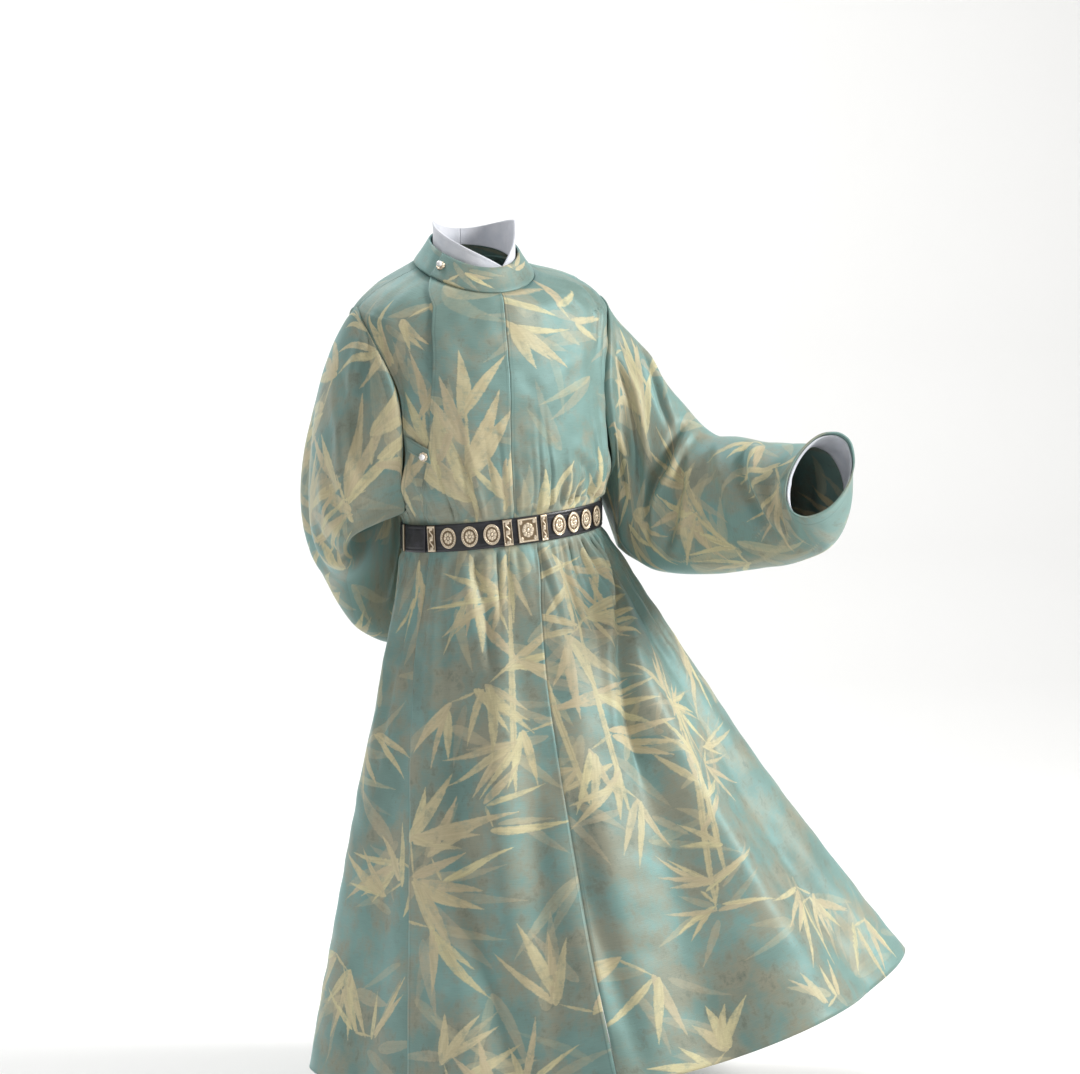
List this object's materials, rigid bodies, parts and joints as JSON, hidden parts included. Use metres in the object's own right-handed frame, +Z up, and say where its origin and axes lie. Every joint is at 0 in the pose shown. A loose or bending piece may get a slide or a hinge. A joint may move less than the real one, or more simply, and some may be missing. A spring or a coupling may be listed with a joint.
{
  "type": "hanfu",
  "caption": "Long round-collar robe with wide sleeves, worn and belted, its overlapping front closed by pearl buttons at the right, white crossed inner collar, plaque-set leather belt.",
  "frame": {"origin": "middle of the neck ring, where the robe hangs on the wearer's shoulders", "axes": "+Z up; the wearer faces -Y, with their left side towards +X"},
  "size_m": [0.8154, 0.6286, 1.2079],
  "materials": {
    "robe_cloth": "satin, teal with cream leaf weave",
    "white_cloth": "plain fine weave",
    "belt_leather": "smooth black",
    "pale_brass": "antique pale gold",
    "pearl": "pearly"
  },
  "bodies": {
    "root": {"front_left_panel": "robe_cloth", "front_overlap_panel": "robe_cloth", "front_right_panel": "robe_cloth", "back_left_panel": "robe_cloth", "back_right_panel": "robe_cloth", "left_sleeve": "robe_cloth", "right_sleeve": "robe_cloth", "collar_band": "robe_cloth", "fastening_tab": "robe_cloth", "inner_collar_right": "white_cloth", "inner_collar_left": "white_cloth", "left_inner_cuff": "white_cloth", "belt_strap": "belt_leather", "belt_keeper": "belt_leather", "belt_end_bar": "pale_brass", "belt_right_bar": "pale_brass", "belt_medallion_right_1": "pale_brass", "belt_medallion_right_2": "pale_brass", "belt_medallion_right_3": "pale_brass", "belt_narrow_plaque": "pale_brass", "belt_square_plaque": "pale_brass", "belt_left_bar": "pale_brass", "belt_medallion_left_1": "pale_brass", "belt_medallion_left_2": "pale_brass", "belt_medallion_left_3": "pale_brass", "belt_medallion_left_4": "pale_brass", "belt_back_plaque_1": "pale_brass", "belt_back_plaque_2": "pale_brass", "belt_back_plaque_3": "pale_brass", "belt_back_plaque_4": "pale_brass", "belt_back_plaque_5": "pale_brass", "belt_back_plaque_6": "pale_brass", "belt_back_plaque_7": "pale_brass", "collar_button_mount": "pale_brass", "side_button_mount": "pale_brass", "collar_button_pearl": "pearl", "side_button_pearl": "pearl"}
  },
  "joints": []
}
